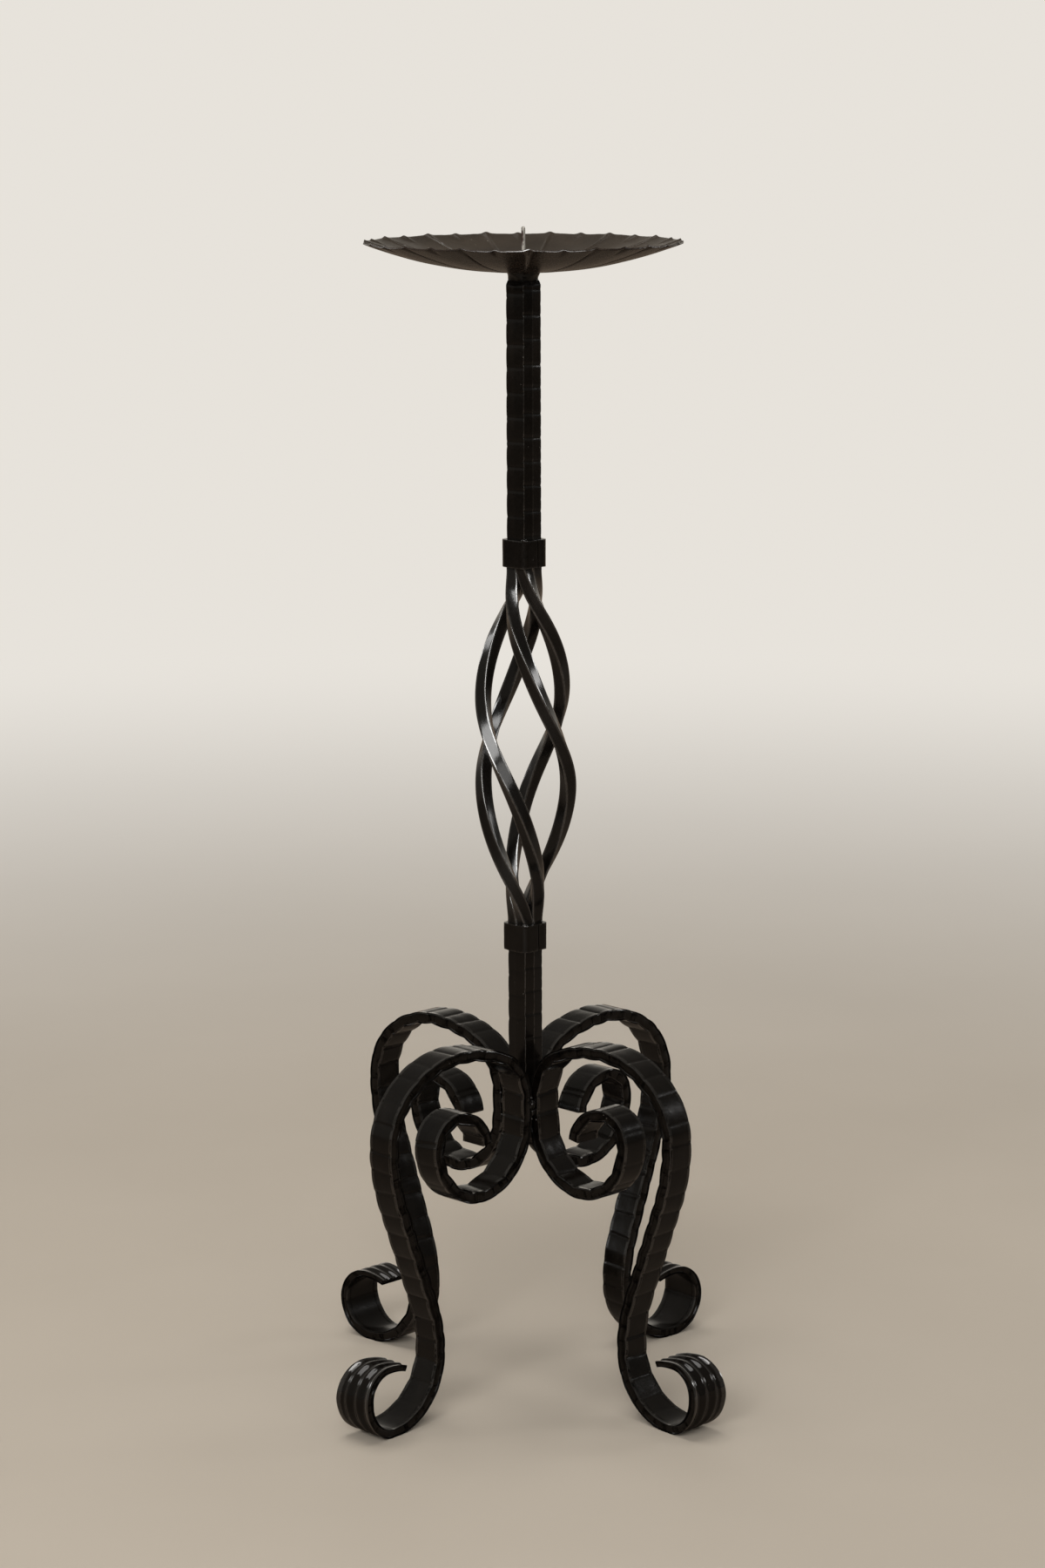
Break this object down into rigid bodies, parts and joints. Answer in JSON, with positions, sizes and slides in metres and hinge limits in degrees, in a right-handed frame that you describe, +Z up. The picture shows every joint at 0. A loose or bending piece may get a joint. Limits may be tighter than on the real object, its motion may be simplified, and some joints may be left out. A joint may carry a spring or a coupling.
{
  "type": "candlestand",
  "caption": "Black wrought-iron candlestand: scrolled bar legs, hammered square shaft, twisted rod basket and a creased drip pan with a spike.",
  "frame": {"origin": "on the floor, under the axis of the shaft", "axes": "+Z up along the shaft; the legs stand along +X, +Y, -X and -Y"},
  "size_m": [0.3114, 0.3114, 0.7342],
  "materials": {
    "black_iron": "satin",
    "weld_iron": "gloss",
    "pan_iron": "satin",
    "spike_steel": "brushed"
  },
  "bodies": {
    "root": {"leg_front_left": "black_iron", "leg_front_right": "black_iron", "leg_back_right": "black_iron", "leg_back_left": "black_iron", "hub_welds": "weld_iron", "lower_shaft": "black_iron", "lower_collar": "black_iron", "basket_rod_1": "black_iron", "basket_rod_2": "black_iron", "basket_rod_3": "black_iron", "basket_rod_4": "black_iron", "upper_collar": "black_iron", "collar_tacks": "weld_iron", "upper_shaft": "black_iron", "pan_weld": "weld_iron", "drip_pan": "pan_iron", "pricket_spike": "spike_steel"}
  },
  "joints": []
}
